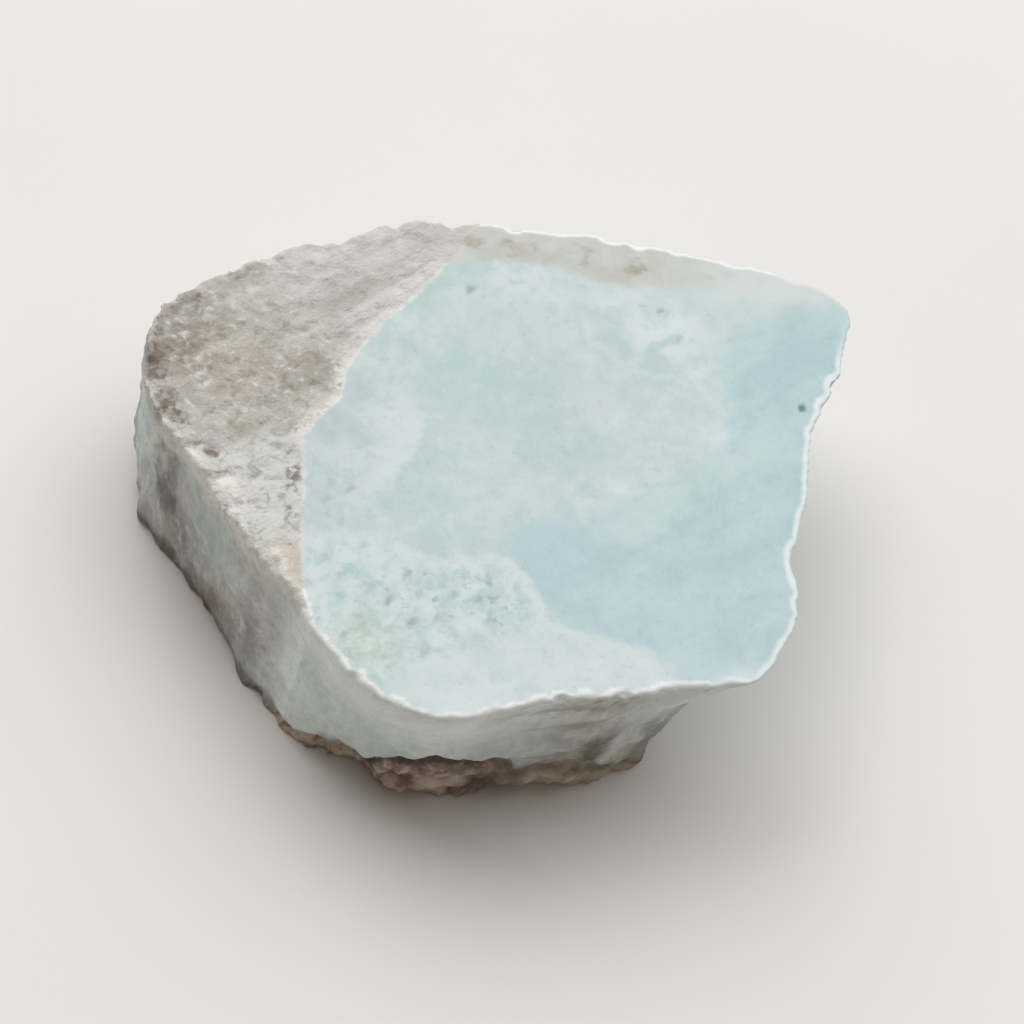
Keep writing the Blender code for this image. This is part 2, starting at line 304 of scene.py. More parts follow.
def inset_from(places, edge):
    """How far each place lies inside the outermost line of the edge, seen from above."""
    sectors = 720
    width = 360.0 / sectors
    turns = np.degrees(np.arctan2(edge[:, 1], edge[:, 0])) % 360.0
    reach = np.zeros(sectors)
    np.maximum.at(reach, (turns / width).astype(int) % sectors, np.hypot(edge[:, 0], edge[:, 1]))
    reach = np.maximum.reduce([reach, np.roll(reach, 1), np.roll(reach, -1)])
    typical = np.median([np.roll(reach, step) for step in range(-14, 15)], axis=0)
    reach = np.where(reach < typical - 0.5, typical, reach)
    table = list(zip((np.arange(sectors) + 0.5) * width, reach))
    degrees = np.degrees(np.arctan2(places[:, 1], places[:, 0]))
    return around(table, degrees) - np.hypot(places[:, 0], places[:, 1])


def nearest_distance(places, targets):
    tree = kdtree.KDTree(len(targets))
    for i, target in enumerate(targets):
        tree.insert(target, i)
    tree.balance()
    return np.array([tree.find(place)[2] for place in places])


def relax(places, edges, weight, times):
    """Draws each point towards its neighbours' middle, as far as its weight says."""
    count = len(places)
    both = np.concatenate((edges, edges[:, ::-1]))
    share = np.bincount(both[:, 0], minlength=count)
    for _ in range(times):
        middle = np.stack([
            np.bincount(both[:, 0], weights=places[both[:, 1], axis], minlength=count) / share
            for axis in range(3)
        ], axis=1)
        places = places + weight * (middle - places)
    return places


def point_normals(mesh, places):
    mesh.vertices.foreach_set("co", places.astype(np.float32).ravel())
    mesh.update()
    normals = np.empty(len(places) * 3, np.float32)
    mesh.vertex_normals.foreach_get("vector", normals)
    return normals.reshape(-1, 3).astype(float)


def layer_height(places):
    """Height across the wall's layers, which turn upwards towards the right."""
    x = places[:, 0]
    turned = np.clip(x - 0.5, 0.0, 3.5)
    return places[:, 2] - 0.12 * x - 0.14 * turned ** 2 - 0.9 * np.maximum(x - 4.0, 0.0)


def chip_rim(places, edge, matrix):
    """Scallops out small flakes along the rim, and returns how deep each point was cut."""
    dice = random.Random(SEED)
    before = places.copy()
    edge = edge[inset_from(edge, edge) < 0.7]
    close = np.flatnonzero(places[:, 2] > THICKNESS - 3.0)
    for _ in range(FLAKES):
        x, y, z = edge[dice.randrange(len(edge))]
        radius = 0.2 + 0.55 * dice.random() ** 4
        depth = radius * dice.uniform(0.1, 0.28)
        steepest = around(CHIP_LEAN, math.degrees(math.atan2(y, x)))
        lean = math.radians(dice.uniform(0.1, 1.0) * steepest)
        outward = np.array((x, y)) / math.hypot(x, y)
        toward = np.array((*(outward * math.cos(lean)), math.sin(lean)))
        centre = np.array((x, y, z)) + toward * (radius - depth)
        offset = places[close] - centre
        far = np.linalg.norm(offset, axis=1)
        cut = (far < radius) & (matrix[close] < 0.5) & (offset @ toward < 0.0)
        places[close[cut]] = centre + offset[cut] * (radius / far[cut])[:, None]
    return np.linalg.norm(places - before, axis=1)


def carve(mesh, node):
    """Gives the even mesh its fine relief and returns the fields that the colours follow."""
    count = len(mesh.vertices)
    places = np.empty(count * 3, np.float32)
    mesh.vertices.foreach_get("co", places)
    places = places.reshape(-1, 3).astype(float)
    edges = np.empty(len(mesh.edges) * 2, np.int32)
    mesh.edges.foreach_get("vertices", edges)
    edges = edges.reshape(-1, 2)
    edge = sawn_edge(node)
    for points in (places, edge):
        degrees = np.degrees(np.arctan2(points[:, 1], points[:, 0]))
        share = 1.0 - around(RIM_ALONE, degrees) * smoothstep(11.2, 8.8, points[:, 2])
        points[:, :2] *= (1.0 + (around(FULLNESS, degrees) - 1.0) * share)[:, None]

    flat = smoothstep(-0.05, -0.01, places[:, 2] - THICKNESS)
    rim = nearest_distance(places, edge)
    places = relax(places, edges, (0.5 * (1.0 - flat) * smoothstep(0.1, 1.0, rim))[:, None], 6)
    along_rim = (0.5 * smoothstep(0.8, 0.3, rim))[:, None] * np.array((1.0, 1.0, 0.0))
    places = relax(places, edges, along_rim, 3)
    matrix = inside(places, MATRIX)
    inset = inset_from(places, edge)
    normals = point_normals(mesh, places)
    height = places[:, 2] - THICKNESS
    near_top = smoothstep(-1.0, -0.7, height)
    sawn = near_top * smoothstep(0.0, 0.3, normals[:, 2]) * smoothstep(-0.1, 0.15, inset)
    upward = smoothstep(-0.4, -0.15, normals[:, 2])
    sawn = np.maximum(sawn, near_top * smoothstep(0.4, 0.6, inset) * upward)
    sawn = np.maximum(sawn, smoothstep(-1.9, -0.9, height) * smoothstep(-0.2, 0.5, matrix))
    filled = sawn * smoothstep(0.2, 0.7, inset)
    places[:, 2] += filled * (THICKNESS - places[:, 2])
    rim = np.where(matrix > -1.0, np.maximum(inset, 0.0), rim)
    chipped = chip_rim(places, edge, matrix)

    normals = point_normals(mesh, places)
    degrees = np.degrees(np.arctan2(places[:, 1], places[:, 0]))
    side = 1.0 - sawn
    bed = smoothstep(0.5, 0.85, -normals[:, 2]) * smoothstep(3.2, 1.4, places[:, 2])
    rough = np.maximum(around(SIDE_ROUGHNESS, degrees), bed)
    fresh = around(FRESH_BREAK, degrees) * (1.0 - bed)
    above_rind = places[:, 2] - around(RIND_HEIGHT, degrees)
    above_rind += 0.8 * fractal(places, 2.0, 3, 83.0) * smoothstep(-0.4, 1.0, around(RIND_HEIGHT, degrees))
    rind = smoothstep(0.5, -0.5, above_rind)
    below = smoothstep(0.1, 1.2, THICKNESS - places[:, 2])

    swell = 0.10 * fractal(places, 3.0, 3, 3.0)
    grit = fractal(places, 0.9, 3, 17.0)
    crests = ridges(places, 1.8, 4, 29.0) - 0.5
    grains = cells(places, 1.0, 7.0) - 0.4
    small_grains = cells(places, 0.55, 9.0) - 0.4
    coarse = np.maximum(0.8 * rind, 0.8 * rough * (1.0 - fresh))
    layered = around(LAYERED, degrees) * (1.0 - bed) * (1.0 - rind)
    lie = layer_height(places)
    in_layers = np.stack((0.16 * places[:, 0], 0.16 * places[:, 1], 1.5 * lie), axis=1)
    beds = fractal(in_layers, 1.5, 3, 71.0)
    move = swell + (0.04 + 0.16 * coarse) * grit + 0.28 * coarse * crests + 0.10 * layered * beds
    move += rind * (0.30 * grains + 0.16 * small_grains)
    groove = np.exp(-((above_rind / 0.5) ** 2)) * (1.0 - bed) * (1.0 - fresh)
    move -= 0.6 * groove * smoothstep(0.0, 1.5, around(RIND_HEIGHT, degrees))
    move *= side * below
    grained = smoothstep(-0.6, 0.4, matrix) * sawn
    plucked = smoothstep(0.0, 0.5, grit) + 0.8 * smoothstep(0.1, 0.5, fractal(places, 1.6, 2, 53.0))
    lumps = fractal(places, 1.1, 3, 41.0)
    calm = 1.0 - 0.45 * smoothstep(2.0, -1.0, places[:, 1])
    move -= grained * calm * (0.08 * plucked + 0.10 * smoothstep(0.05, 0.45, lumps))
    back_left = smoothstep(2.0, 4.5, places[:, 1]) * smoothstep(15.0, 11.0, places[:, 1])
    bitten = smoothstep(2.8, 0.4, inset) * back_left
    move -= 0.32 * grained * bitten * smoothstep(0.0, 0.4, fractal(places, 1.4, 2, 61.0))
    places = places + normals * move[:, None]
    places[:, 2] = np.clip(places[:, 2], cad_low.z / MM, THICKNESS)
    point_normals(mesh, places)

    lace, _ = distance_to(places, rounded(LACE, closed=False), closed=False)
    inner_lace, _ = distance_to(places, rounded(INNER_LACE, closed=False), closed=False)
    return {
        "sawn": 1.0 - side,
        "rim": rim,
        "chip": chipped,
        "matrix": matrix,
        "lilac": inside(places, LILAC),
        "milk": inside(places, MILK),
        "cream": inside(places, CREAM),
        "sky": inside(places, SKY),
        "mixed": inside(places, MIXED),
        "lace": np.minimum(lace, inner_lace + 0.6),
        "band": inside(places, BACK_BAND),
        "rind": above_rind,
        "rough": rough,
        "fresh": fresh,
        "bed": bed,
        "pit": -move * (move < 0.0),
        "layered": layered,
        "lie": lie,
        "pebble": 0.6 - grains,
        "pits": strongest(places, PITS, 1.5, 0.3),
        "stains": strongest(places, STAINS, 1.9, 0.5),
        "specks": speckled(places),
        "clean": around(CLEAN, degrees),
        "stained": around(STAINED_FOOT, degrees) * smoothstep(8.5, 4.0, places[:, 2]) * (1.0 - bed),
    }


def strongest(places, spots, outer, inner):
    """The strongest of several soft spots: each is a centre, a half length and a strength."""
    best = np.zeros(len(places))
    for x, y, size, strength in spots:
        far = np.linalg.norm(places - (x, y, THICKNESS), axis=1)
        best = np.maximum(best, strength * smoothstep(size * outer, size * inner, far))
    return best


def speckled(places):
    """The dark specks, each an uneven oval leaning the same way."""
    def leaned(x, y):
        cosine, sine = math.cos(SPECK_TILT), math.sin(SPECK_TILT)
        return cosine * x + sine * y, SPECK_SQUEEZE * (cosine * y - sine * x)
    x, y = leaned(*(places[:, axis] + 0.25 * fractal(places, 0.62, 2, 91.0 + axis) for axis in (0, 1)))
    dark = np.zeros(len(places))
    for centre_x, centre_y, size, strength in SPECKS:
        middle = leaned(centre_x, centre_y)
        far = np.hypot(x - middle[0], y - middle[1])
        dark = np.maximum(dark, strength * smoothstep(size * 1.35, 0.0, far))
    return dark


def store(mesh, fields):
    for name, values in fields.items():
        layer = mesh.attributes.new(name, "FLOAT", "POINT")
        layer.data.foreach_set("value", values.astype(np.float32))


def srgb(red, green, blue):
    """A colour given as screen values from 0 to 255, in linear light."""
    def linear(value):
        share = value / 255.0
        return share / 12.92 if share <= 0.04045 else ((share + 0.055) / 1.055) ** 2.4
    return (linear(red), linear(green), linear(blue), 1.0)


class Recipe:
    """Short names for the nodes of one material."""

    def __init__(self, name):
        self.material = bpy.data.materials.new(name)
        self.material.use_nodes = True
        self.tree = self.material.node_tree
        self.shader = self.tree.nodes["Principled BSDF"]
        coordinates = self.tree.nodes.new("ShaderNodeTexCoord")
        self.place = self.vector("SCALE", coordinates.outputs["Object"], scale=1.0 / MM)

    def put(self, socket, value):
        if isinstance(value, bpy.types.NodeSocket):
            self.tree.links.new(value, socket)
        else:
            socket.default_value = value

    def vector(self, operation, first, second=None, scale=None):
        node = self.tree.nodes.new("ShaderNodeVectorMath")
        node.operation = operation
        self.put(node.inputs[0], first)
        if second is not None:
            self.put(node.inputs[1], second)
        if scale is not None:
            self.put(node.inputs["Scale"], scale)
        return node.outputs["Value" if operation in ("LENGTH", "DISTANCE") else "Vector"]

    def math(self, operation, first, second=None):
        node = self.tree.nodes.new("ShaderNodeMath")
        node.operation = operation
        self.put(node.inputs[0], first)
        if second is not None:
            self.put(node.inputs[1], second)
        return node.outputs[0]

    def sum(self, *terms):
        total = terms[0]
        for term in terms[1:]:
            total = self.math("ADD", total, term)
        return total

    def times(self, *terms):
        total = terms[0]
        for term in terms[1:]:
            total = self.math("MULTIPLY", total, term)
        return total

    def invert(self, value):
        return self.math("SUBTRACT", 1.0, value)

    def step(self, value, low, high):
        """0 below low, 1 above high, smooth between; low may be the greater one."""
        node = self.tree.nodes.new("ShaderNodeMapRange")
        node.interpolation_type = "SMOOTHSTEP"
        self.put(node.inputs["Value"], value)
        node.inputs["From Min"].default_value = min(low, high)
        node.inputs["From Max"].default_value = max(low, high)
        node.inputs["To Min"].default_value = 0.0 if low < high else 1.0
        node.inputs["To Max"].default_value = 1.0 if low < high else 0.0
        return node.outputs["Result"]

    def field(self, name):
        node = self.tree.nodes.new("ShaderNodeAttribute")
        node.attribute_name = name
        return node.outputs["Fac"]

    def stretched(self, turn=(0.0, 0.0, 0.0), squeeze=(1.0, 1.0, 1.0)):
        """Places turned first and then squeezed, for patterns that run one way."""
        node = self.tree.nodes.new("ShaderNodeVectorRotate")
        node.rotation_type = "EULER_XYZ"
        self.put(node.inputs["Vector"], self.place)
        node.inputs["Rotation"].default_value = turn
        return self.vector("MULTIPLY", node.outputs["Vector"], squeeze)

    def joined(self, x, y, z=0.0):
        node = self.tree.nodes.new("ShaderNodeCombineXYZ")
        for socket, value in zip(node.inputs, (x, y, z)):
            self.put(socket, value)
        return node.outputs["Vector"]

    def along(self, axis):
        """One coordinate of the place, in millimetres."""
        node = self.tree.nodes.new("ShaderNodeSeparateXYZ")
        self.put(node.inputs[0], self.place)
        return node.outputs[axis]

    def noise(self, wavelength, detail=3.0, rough=0.5, warp=0.0, place=None, offset=0.0):
        """Soft noise centred on 0, from about -0.5 to 0.5."""
        node = self.tree.nodes.new("ShaderNodeTexNoise")
        shift = (7.3 * offset, 3.1 * offset, 5.7 * offset)
        self.put(node.inputs["Vector"], self.vector("ADD", self.place if place is None else place, shift))
        node.inputs["Scale"].default_value = 1.0 / wavelength
        node.inputs["Detail"].default_value = detail
        node.inputs["Roughness"].default_value = rough
        node.inputs["Distortion"].default_value = warp
        return self.math("SUBTRACT", node.outputs["Fac"], 0.5)

    def blend(self, factor, under, over):
        node = self.tree.nodes.new("ShaderNodeMix")
        node.data_type = "RGBA"
        self.put(node.inputs[0], factor)
        self.put(node.inputs[6], under)
        self.put(node.inputs[7], over)
        return node.outputs[2]

    def paint(self, under, colour, *shares):
        """A screen colour over what is there, as strong as the product of the shares."""
        return self.blend(self.times(*shares), under, srgb(*colour))


def sawn_blues(r):
    """The sawn face's aqua, sky, lilac and milk zones."""
    wide = r.noise(6.0, 2.0, 0.5, 0.4, offset=1.0)
    middle = r.noise(2.2, 3.0, 0.55, 0.5, offset=2.0)
    fine = r.noise(0.7, 2.0, 0.6, offset=3.0)
    grain = r.noise(0.25, 1.0, 0.6, offset=4.0)
    ragged = r.sum(r.times(middle, 1.6), r.times(fine, 0.9))
    soft = r.sum(wide, r.times(middle, 0.6), r.times(fine, 0.4))

    colour = r.blend(r.step(soft, -0.25, 0.25), srgb(177, 198, 196), srgb(193, 207, 206))
    clouds = r.times(r.step(r.sum(middle, r.times(fine, 0.6)), 0.02, 0.3), 0.6)
    colour = r.paint(colour, (200, 212, 212), clouds)
    greyer = r.times(spot(r, 2.5, 4.5, 8.0, 1.0), r.step(soft, -0.3, 0.2), 0.45)
    colour = r.paint(colour, (192, 202, 199), greyer)
    upper_clouds = r.times(spot(r, 7.0, 10.0, 6.5, 1.0), r.step(middle, -0.12, 0.12), 0.65)
    colour = r.paint(colour, (203, 212, 213), upper_clouds)

    sky = r.step(r.sum(r.field("sky"), r.times(wide, 1.2), r.times(ragged, 0.8)), -0.6, 0.8)
    streaks = r.stretched(turn=(0.0, 0.0, math.radians(-28)), squeeze=(0.35, 1.3, 1.0))
    streak = r.noise(1.6, 3.0, 0.6, 0.4, place=streaks, offset=5.0)
    paler = r.step(r.sum(soft, r.times(streak, 0.8)), -0.3, 0.3)
    sky_colour = r.blend(paler, srgb(169, 195, 199), srgb(185, 205, 208))
    mixed = r.step(r.sum(r.field("mixed"), r.times(ragged, 0.8)), -1.0, 1.4)
    mixed = r.times(mixed, r.step(streak, -0.25, 0.15))
    mixed = r.times(mixed, r.invert(r.times(spot(r, 16.0, 1.2, 3.6, 0.8), 0.8)))
    colour = r.blend(r.times(sky, r.invert(r.times(mixed, 0.45))), colour, sky_colour)
    lilac_spot = spot(r, -0.6, -7.4, 4.5, 0.5)
    colour = r.paint(colour, (177, 197, 205), lilac_spot, sky, 0.8)

    web = r.step(r.math("ABSOLUTE", r.noise(1.9, 3.0, 0.62, 1.0, offset=8.0)), 0.1, 0.0)
    patches = r.step(r.noise(2.6, 2.0, 0.5, offset=9.0), -0.1, 0.14)
    lace = r.times(r.step(r.field("lace"), 2.4, 0.1), patches, r.sum(0.35, r.times(web, 0.45)))
    lace = r.math("MAXIMUM", lace, r.times(spot(r, 10.4, 9.4, 3.4, 0.8), r.step(middle, -0.2, 0.05), 0.9))
    lace = r.math("MAXIMUM", lace, r.times(spot(r, -10.4, -3.9, 1.6, 0.2), r.step(ragged, -0.2, 0.3), 0.6))
    colour = r.paint(colour, (209, 218, 219), lace)
    back_cloud = r.times(spot(r, 1.6, 14.9, 3.6, 1.0), r.step(r.sum(middle, fine), -0.2, 0.15), 0.55)
    colour = r.paint(colour, (211, 216, 220), back_cloud)

    lilac_field = r.sum(r.field("lilac"), r.times(ragged, 0.7))
    lilac = r.step(lilac_field, -0.2, 0.5)
    cloudy = r.step(r.sum(middle, r.times(fine, 0.8)), -0.2, 0.2)
    lilac_colour = r.blend(cloudy, srgb(182, 196, 198), srgb(195, 206, 207))
    streaky = r.noise(1.3, 3.0, 0.6, 0.4, place=r.stretched(squeeze=(0.45, 1.2, 1.0)), offset=10.0)
    milky = r.math("MAXIMUM", spot(r, -7.6, 2.4, 3.4, 0.6), spot(r, -8.3, -0.6, 3.0, 0.4))
    milky = r.math("MAXIMUM", milky, r.times(spot(r, -11.0, -1.6, 3.0, 0.4), 0.35))
    milky = r.step(r.sum(milky, r.times(streaky, 1.6), r.times(fine, 0.5)), 0.15, 0.95)
    lilac_colour = r.paint(lilac_colour, (207, 215, 216), milky, 0.8)
    shaded = r.math("MAXIMUM", spot(r, -12.1, 3.0, 2.8, 0.6), spot(r, -10.6, 5.6, 2.4, 0.5))
    shaded = r.step(r.sum(shaded, r.times(streaky, 1.2), r.times(fine, 0.6)), 0.2, 0.9)
    lilac_colour = r.paint(lilac_colour, (172, 186, 190), shaded, 0.6)
    colour = r.blend(r.times(lilac, 0.9), colour, lilac_colour)
    lilac_rim = r.step(r.math("ABSOLUTE", r.sum(lilac_field, -0.5)), 0.7, 0.1)
    lilac_rim = r.times(lilac_rim, spot(r, -6.0, 0.0, 6.0, 4.0))
    colour = r.paint(colour, (205, 213, 214), lilac_rim, 0.4)

    milk_field = r.sum(r.field("milk"), r.times(ragged, 0.7))
    milk = r.step(milk_field, -0.3, 0.4)
    blotch = r.noise(1.3, 3.0, 0.62, 0.5, offset=12.0)
    milk_colour = r.blend(r.step(blotch, -0.18, 0.16), srgb(172, 196, 195), srgb(201, 213, 211))
    veil = r.step(r.math("ABSOLUTE", r.noise(1.5, 3.0, 0.6, 0.7, offset=14.0)), 0.1, 0.0)
    milk_colour = r.paint(milk_colour, (208, 217, 216), veil, 0.35)
    mottle = r.noise(0.55, 2.0, 0.55, offset=15.0)
    inner = r.step(r.field("milk"), 0.6, 1.8)
    freckle = r.times(r.step(mottle, 0.05, 0.22), r.step(r.noise(2.5, 1.0, offset=16.0), -0.16, 0.1), inner)
    freckle = r.times(freckle, r.sum(0.5, r.times(spot(r, -6.5, -10.3, 4.5, 1.5), 0.3)))
    milk_colour = r.paint(milk_colour, (142, 168, 165), freckle)
    colour = r.blend(milk, colour, milk_colour)
    milk_rim = r.times(r.step(r.math("ABSOLUTE", r.sum(milk_field, -0.5)), 0.7, 0.1), 0.45)
    colour = r.paint(colour, (206, 215, 214), milk_rim)
    blotched = r.step(r.sum(blotch, r.times(mottle, 0.8)), 0.25, -0.2)
    green_spot = r.times(spot(r, -11.9, -13.1, 3.2, 0.4), 0.6, blotched)
    colour = r.paint(colour, (177, 189, 166), green_spot)
    cream = r.step(r.sum(r.field("cream"), r.times(ragged, 0.7)), -0.4, 0.9)
    cream_colour = r.blend(r.step(soft, -0.2, 0.2), srgb(195, 208, 208), srgb(210, 218, 217))
    colour = r.blend(r.times(cream, 0.9), colour, cream_colour)
    colour = r.paint(colour, (208, 217, 216), r.step(grain, 0.08, 0.3), 0.3)
    return r.blend(r.times(r.step(r.sum(grain, fine), -0.15, -0.45), 0.4), colour, srgb(160, 183, 183))


def spot(r, x, y, outer, inner=0.0):
    """1 near a point of the sawn face, fading to 0 at the outer distance."""
    return r.step(r.vector("DISTANCE", r.place, (x, y, THICKNESS)), outer, inner)


def blot(r, centre, push, outer, inner, place=None):
    """Like a spot of the stone at any height, with its edge pushed about by noise."""
    distance = r.vector("DISTANCE", r.place if place is None else place, centre)
    return r.step(r.sum(distance, push), outer, inner)


def matrix_colour(r):
    """Granular tan and white matrix, streaked along its edges and stained brown at the left, with a cream lip
    that is partly a painted highlight, and painted shade in its hollows.
    """
    clump = r.noise(2.8, 2.0, 0.55, 0.6, offset=21.0)
    blob = r.noise(1.1, 3.0, 0.5, 1.2, offset=22.0)
    fine = r.noise(0.4, 2.0, 0.55, offset=24.0)
    mottle = r.noise(0.75, 2.0, 0.5, 0.8, offset=25.0)
    mixed = r.sum(r.times(blob, 0.6), r.times(mottle, 0.7), r.times(fine, 0.3))
    tint = r.step(r.sum(clump, r.times(mottle, 0.4)), -0.2, 0.2)
    colour = r.blend(tint, srgb(168, 163, 154), srgb(189, 187, 180))
    warm = r.times(spot(r, -17.4, 7.6, 5.4, 1.2), r.sum(0.28, r.times(r.step(blob, 0.2, -0.2), 0.4)))
    colour = r.paint(colour, (166, 152, 138), warm)
    colour = r.paint(colour, (188, 189, 181), spot(r, -12.0, 12.5, 6.0, 2.0), 0.5)
    grey_green = r.times(spot(r, -17.5, 2.6, 3.4, 1.0), r.step(blob, -0.1, 0.15), 0.5)
    colour = r.paint(colour, (178, 184, 178), grey_green)
    colour = r.paint(colour, (140, 130, 116), r.step(mixed, -0.04, -0.24), 0.7)
    worms = r.step(r.math("ABSOLUTE", r.noise(1.0, 2.0, 0.5, 1.0, offset=28.0)), 0.05, 0.0)
    colour = r.paint(colour, (208, 204, 196), worms, 0.4, r.step(clump, -0.15, 0.1))
    colour = r.paint(colour, (212, 209, 203), r.step(mixed, 0.06, 0.26), 0.8)

    along = r.stretched(turn=(0.0, 0.0, math.radians(-47)), squeeze=(0.32, 0.32, 0.32))
    wavy = r.sum(r.field("matrix"), r.times(blob, 0.9))
    streak = r.noise(1.0, 2.0, 0.55, place=r.vector("ADD", along, r.joined(wavy, 0.0)), offset=23.0)
    beside = r.times(spot(r, -5.5, 15.0, 10.0, 5.0), r.step(r.field("matrix"), 7.0, 3.0))
    streak_colour = r.blend(r.step(streak, -0.14, 0.12), srgb(162, 159, 151), srgb(212, 211, 206))
    colour = r.blend(r.times(beside, 0.6), colour, streak_colour)
    wavy_back = r.sum(r.field("rim"), r.times(blob, 0.8))
    back_along = r.stretched(squeeze=(0.12, 0.12, 0.12))
    back = r.noise(1.1, 2.0, 0.55, place=r.vector("ADD", back_along, r.joined(0.0, wavy_back)), offset=26.0)
    near_back = r.times(r.step(r.field("rim"), 5.0, 2.0), spot(r, -12.0, 14.5, 9.5, 5.0))
    back_colour = r.blend(r.step(back, -0.15, 0.11), srgb(174, 172, 163), srgb(212, 211, 206))
    colour = r.blend(r.times(near_back, 0.6), colour, back_colour)

    tan_patch = r.times(spot(r, -12.9, 7.7, 2.0, 0.4), r.step(r.sum(blob, mottle), 0.25, -0.15))
    colour = r.paint(colour, (153, 142, 125), tan_patch, 0.65)
    dark_patch = r.times(spot(r, -14.3, 6.2, 1.5, 0.3), r.step(r.sum(blob, mottle), 0.15, -0.15))
    colour = r.paint(colour, (134, 122, 108), dark_patch, 0.5)
    olive_patch = blot(r, (-17.6, 2.1, THICKNESS), r.times(blob, 2.0), 1.5, 0.5)
    colour = r.paint(colour, (140, 133, 113), olive_patch, 0.75)

    brown_side = r.times(spot(r, -20.8, 8.7, 2.6, 0.6), r.step(r.sum(blob, mottle), 0.3, -0.15))
    colour = r.paint(colour, (136, 122, 109), brown_side, 0.8)
    browner = r.math("MAXIMUM", spot(r, -19.7, 11.5, 3.4, 0.8), r.times(spot(r, -16.3, 14.9, 3.0, 0.8), 0.6))
    browner = r.times(browner, r.step(r.sum(blob, mottle), 0.3, -0.15), 0.6)
    colour = r.paint(colour, (128, 115, 102), browner)
    lower = spot(r, -17.0, -2.6, 6.0, 3.4)
    pale = r.blend(r.step(mixed, -0.3, 0.1), srgb(172, 175, 170), srgb(206, 206, 201))
    pale_pores = r.times(r.step(r.sum(mottle, r.times(fine, 0.5)), -0.06, -0.24), 0.6)
    pale = r.paint(pale, (148, 153, 148), pale_pores)
    colour = r.blend(r.times(lower, 0.9), colour, pale)
    pits = r.field("pits")
    browned = r.step(r.sum(pits, r.times(blob, 1.3), r.times(mottle, 1.7), r.times(fine, 1.4)), 0.3, 1.2)
    browned = r.times(browned, r.step(pits, 0.0, 0.3), 0.9)
    colour = r.paint(colour, (106, 91, 77), browned)
    tip = spot(r, -16.0, -8.0, 3.4, 1.4)
    colour = r.paint(colour, (200, 188, 172), tip, 0.7, r.step(mixed, 0.25, -0.05))
    seam = r.times(
        r.step(r.math("ABSOLUTE", r.math("SUBTRACT", r.field("matrix"), 0.55)), 0.6, 0.15),
        spot(r, -15.0, -1.6, 4.0, 2.2),
        r.step(r.sum(blob, r.times(mottle, 0.8)), 0.05, -0.15),
    )
    colour = r.paint(colour, (118, 114, 102), seam, 0.85)

    upper = r.step(r.along("Y"), -0.5, 2.5)
    beside_width = r.sum(r.field("matrix"), r.times(blob, 2.6), r.times(mottle, 1.4))
    white_band = r.times(r.step(beside_width, 1.1, 0.1), upper, r.step(fine, -0.3, 0.0))
    whitest = r.sum(0.5, r.times(spot(r, -12.6, 5.0, 5.0, 3.0), 0.4))
    colour = r.paint(colour, (222, 219, 213), white_band, whitest)
    thin_line = r.step(r.sum(r.field("matrix"), r.times(fine, 0.5)), 0.15, -0.1)
    colour = r.paint(colour, (224, 222, 217), thin_line, 0.5)
    # Cream lip along the left rim of the matrix: partly the stone's cream colour, partly a painted highlight
    # on the bevel.
    cream_lip_and_highlight = r.step(r.sum(r.field("rim"), r.times(mottle, 0.9)), 1.1, 0.3)
    cream_lip_and_highlight = r.times(cream_lip_and_highlight, spot(r, -19.0, -2.5, 9.0, 6.0))
    creamy = r.math("MAXIMUM", r.step(mixed, -0.2, 0.15), spot(r, -20.6, 0.9, 2.8, 1.5))
    colour = r.paint(colour, (226, 219, 208), cream_lip_and_highlight, creamy, 0.8)
    # Painted shade: the matrix darkens in its hollows.
    return r.blend(r.times(r.step(r.field("pit"), 0.08, 0.4), 0.45), colour, srgb(118, 106, 93))


